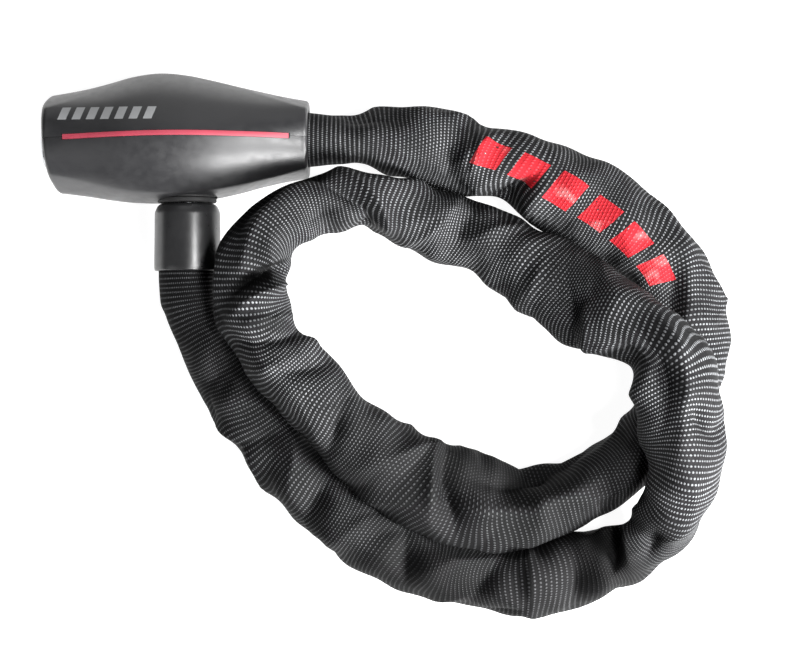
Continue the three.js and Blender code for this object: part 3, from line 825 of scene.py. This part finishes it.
def metal(name, colour, roughness, scratch=(1, 1, 14)):
    """Bare metal with fine scratches, which are shortest along the axis where scratch is largest."""
    n = Nodes(name)
    streaks = n.noise(900, 4, stretch=scratch)
    broad = n.noise(140, 4)
    darker = tuple(c * 0.72 for c in colour[:3]) + (1,)
    tone = n.mix(n.ramp(broad, 0.3, 0.72), darker, colour)
    rough = n.ramp(streaks, 0.25, 0.75, roughness - 0.08, roughness + 0.1)
    n.bump(streaks, 0.2, 0.00003)
    return n.finish(tone, rough, 1.0)


def woven_fabric():
    """Black threads with a pale fleck at each crossing, in rows across the sleeve, and a plain red print."""
    n = Nodes("woven_fabric")
    threads = n.uv_map("threads")
    place = n.split(threads)
    u, v = place[0], place[1]
    along_mm = n.split(n.uv_map("print"))[1]
    row = n.math("FLOOR", v)
    offset = n.math("MULTIPLY", n.math("FLOORED_MODULO", row, 2.0), 0.5)
    a = n.math("SUBTRACT", n.math("FRACT", n.math("ADD", u, offset)), 0.5)
    b = n.math("SUBTRACT", n.math("FRACT", v), 0.5)
    half_wide, half_long = 0.31, 0.20  # of a fleck, in threads and in rows
    across = n.math("POWER", n.math("DIVIDE", n.math("ABSOLUTE", a), half_wide), 2.0)
    along = n.math("POWER", n.math("DIVIDE", n.math("ABSOLUTE", b), half_long), 2.0)
    distance = n.math("SQRT", n.math("ADD", across, along))
    fleck = n.ramp(distance, 0.75, 1.2, 1.0, 0.0)
    uneven = n.noise(1.6, 2, vector=threads)
    worn = n.noise(90, 3)
    strength = n.math("MULTIPLY", n.ramp(uneven, 0.3, 0.62, 0.45, 1.0), n.ramp(worn, 0.3, 0.65, 0.6, 1.0))
    fleck = n.math("MULTIPLY", fleck, strength)
    thread = n.mix(n.ramp(n.noise(0.9, 3, vector=threads), 0.3, 0.7), (0.003, 0.003, 0.0033, 1),
                   (0.007, 0.007, 0.0075, 1))
    cloth = n.mix(fleck, thread, (0.148, 0.152, 0.158, 1))
    # Painted shade: the cloth is painted darker at the bottom of the loop and beside the plug, and darkest in
    # patches at its deep folds.
    painted_shade_colour = (0.001, 0.001, 0.0011, 1)
    for middle, half, share in PAINTED_SHADE_STRETCHES:
        away = n.math("ABSOLUTE", n.math("SUBTRACT", along_mm, middle))
        cloth = n.mix(n.ramp(away, half * 0.5, half * 1.3, share, 0.0), cloth, painted_shade_colour)
    for patch in PAINTED_SHADE_PATCHES:
        cloth = n.mix(painted_shade_patch(n, u, along_mm, patch), cloth, painted_shade_colour)
    red = n.mix(n.ramp(distance, 0.5, 1.5), (0.34, 0.013, 0.020, 1), (0.21, 0.006, 0.010, 1))
    rubbed = n.ramp(n.noise(95, 3), 0.56, 0.68)
    worn_red = n.math("MULTIPLY", rubbed, n.ramp(distance, 0.4, 1.4, 0.75, 0.3))
    red = n.mix(worn_red, red, (0.38, 0.17, 0.17, 1))
    chipped = n.ramp(n.noise(1.1, 3, vector=threads), 0.30, 0.36)
    colour = n.mix(n.math("MULTIPLY", sleeve_print(n, u, along_mm), chipped), cloth, red)

    hump = n.ramp(distance, 0.2, 1.7, 1.0, 0.0)
    fuzz = n.noise(3.1, 2, vector=threads)
    n.bump(n.math("ADD", hump, n.math("MULTIPLY", fuzz, 0.35)), 0.65, 0.00022)
    n.shader.inputs["Specular IOR Level"].default_value = 0.12
    return n.finish(colour, n.ramp(distance, 0.6, 1.4, 0.5, 0.82))


def painted_shade_patch(n, u, along, patch):
    """The share of painted shade in one oval patch, soft at its rim."""
    place, thread, lean, half_length, half_threads, share = patch
    turned_to = n.math("ADD", n.math("SUBTRACT", u, thread), THREADS / 2)
    threads = n.math("SUBTRACT", n.math("FLOORED_MODULO", turned_to, THREADS), THREADS / 2)
    away = n.math("SUBTRACT", n.math("SUBTRACT", along, place), n.math("MULTIPLY", threads, lean))
    a = n.math("POWER", n.math("ABSOLUTE", n.math("DIVIDE", away, half_length)), 2.0)
    b = n.math("POWER", n.math("ABSOLUTE", n.math("DIVIDE", threads, half_threads)), 2.0)
    return n.ramp(n.math("ADD", a, b), 0.5, 1.5, share, 0.0)


def sleeve_print(n, u, along):
    """Six plain slanted bars along the first strand, in a band that wanders to the loop's inner side."""
    first, bars, pitch = 60.0, 6, 12.5
    middle = n.ramp(along, first, first + bars * pitch, 18.5, 25.5, smooth=False)
    across = n.math("SUBTRACT", u, middle)
    slanted = n.math("ADD", n.math("SUBTRACT", along, first), n.math("MULTIPLY", across, 0.3))
    step = n.math("FRACT", n.math("DIVIDE", slanted, pitch))
    on_bar = n.math("LESS_THAN", step, 0.68)
    inside = n.math("MULTIPLY", n.math("GREATER_THAN", slanted, 0.0),
                    n.math("LESS_THAN", slanted, bars * pitch))
    band = n.math("LESS_THAN", n.math("ABSOLUTE", across), 4.6)
    return n.math("MULTIPLY", n.math("MULTIPLY", on_bar, inside), band)


def give(piece, material):
    """Makes material the only one on piece."""
    piece.data.materials.clear()
    piece.data.materials.append(material)


# The studio

def make_studio():
    """A pale floor, a faint sky and five soft lights."""
    n = Nodes("pale_floor")
    n.bump(n.noise(40, 2), 0.02, 0.0002)
    n.shader.inputs["Emission Color"].default_value = (1, 1, 1, 1)
    n.shader.inputs["Emission Strength"].default_value = 0.95
    floor_material = n.finish((0.32, 0.32, 0.32, 1), 0.9)
    half = 3000  # mm
    floor = mesh_object("floor", [(-half, -half, 0), (half, -half, 0), (half, half, 0), (-half, half, 0)],
                        [(0, 1, 2, 3)])
    give(floor, floor_material)

    world = bpy.data.worlds.new("studio")
    world.use_nodes = True
    sky = world.node_tree.nodes["Background"]
    sky.inputs["Color"].default_value = (0.9, 0.92, 0.95, 1)
    sky.inputs["Strength"].default_value = 0.08
    bpy.context.scene.world = world

    middle = Vector((0.065, -0.06, 0.01))  # where every light points, in metres as their places and sizes
    for name, place, size, power in (
        ("key_light", (0.48, -0.28, 0.24), 0.18, 17.0),
        ("satin_light", (0.26, -0.36, 0.46), 0.20, 3.3),
        ("strip_light", (0.36, -0.08, 0.62), 0.12, 4.0),
        ("side_light", (-0.42, -0.26, 0.34), 0.40, 0.3),
        ("back_light", (0.00, 0.52, 0.26), 0.50, 0.4),
    ):
        data = bpy.data.lights.new(name, "AREA")
        data.shape = "DISK"
        data.size = size
        data.energy = power
        light = add_object(name, data)
        light.location = place
        light.rotation_euler = (Vector(place) - middle).to_track_quat("Z", "Y").to_euler()

    bpy.context.scene.view_settings.view_transform = "Standard"


# Building

make_camera()
make_studio()

sleeve, sleeve_centres = make_sleeve()
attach(sleeve, "lock_body")
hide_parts("chain_sleeve")
give(sleeve, woven_fabric())

upper, lower, inlay, hollow = make_casing()
housing = make_housing(hollow)
bezel, core = make_keyway_end()
cap, seal, bolt = make_plug()

casing_plastic = moulded_plastic("casing_plastic", (0.015, 0.015, 0.0162, 1), 0.36, mark=True)
stripe_red = moulded_plastic("stripe_red", (0.30, 0.030, 0.052, 1), 0.5)
cap_plastic = moulded_plastic("cap_plastic", (0.020, 0.020, 0.021, 1), 0.31, grain=0.08)
seal_rubber = moulded_plastic("seal_rubber", (0.004, 0.004, 0.0044, 1), 0.75)
brass = metal("brass", (0.72, 0.52, 0.24, 1), 0.3)
steel = metal("steel", (0.52, 0.53, 0.55, 1), 0.36)
bright_steel = metal("bright_steel", (0.66, 0.67, 0.69, 1), 0.24)
zinc = metal("zinc", (0.36, 0.37, 0.39, 1), 0.5, scratch=(3, 3, 3))
chain_steel = metal("chain_steel", (0.5, 0.51, 0.53, 1), 0.34, scratch=(4, 4, 4))

for piece, body, node, slot, material in (
    (upper, "lock_body", "casing_upper", "casing_plastic", casing_plastic),
    (lower, "lock_body", "casing_lower", "casing_plastic", casing_plastic),
    (inlay, "lock_body", "stripe_inlay", "stripe_red", stripe_red),
    (housing, "lock_body", "lock_housing", "zinc_alloy", zinc),
    (bezel, "lock_body", "keyway_bezel", "bright_steel", bright_steel),
    (core, "key_cylinder", "cylinder_core", "brass", brass),
    (cap, "plug", "plug_cap", "cap_plastic", cap_plastic),
    (seal, "lock_body", "socket_seal", "seal_rubber", seal_rubber),
    (bolt, "plug", "plug_bolt", "bright_steel", bright_steel),
):
    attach(piece, body)
    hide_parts(node)
    give(piece, material)

# The pieces of the CAD model that stay as they are get a material for their slot.
slot_material = {"brass": brass, "steel": steel, "bright_steel": bright_steel, "chain_steel": chain_steel,
                 "zinc_alloy": zinc}
for part in frame["record"]["subparts"]:
    node = frame["nodes"][part["node"]]
    if part["material_slot"] in slot_material and not node.hide_render:
        give(node, slot_material[part["material_slot"]])
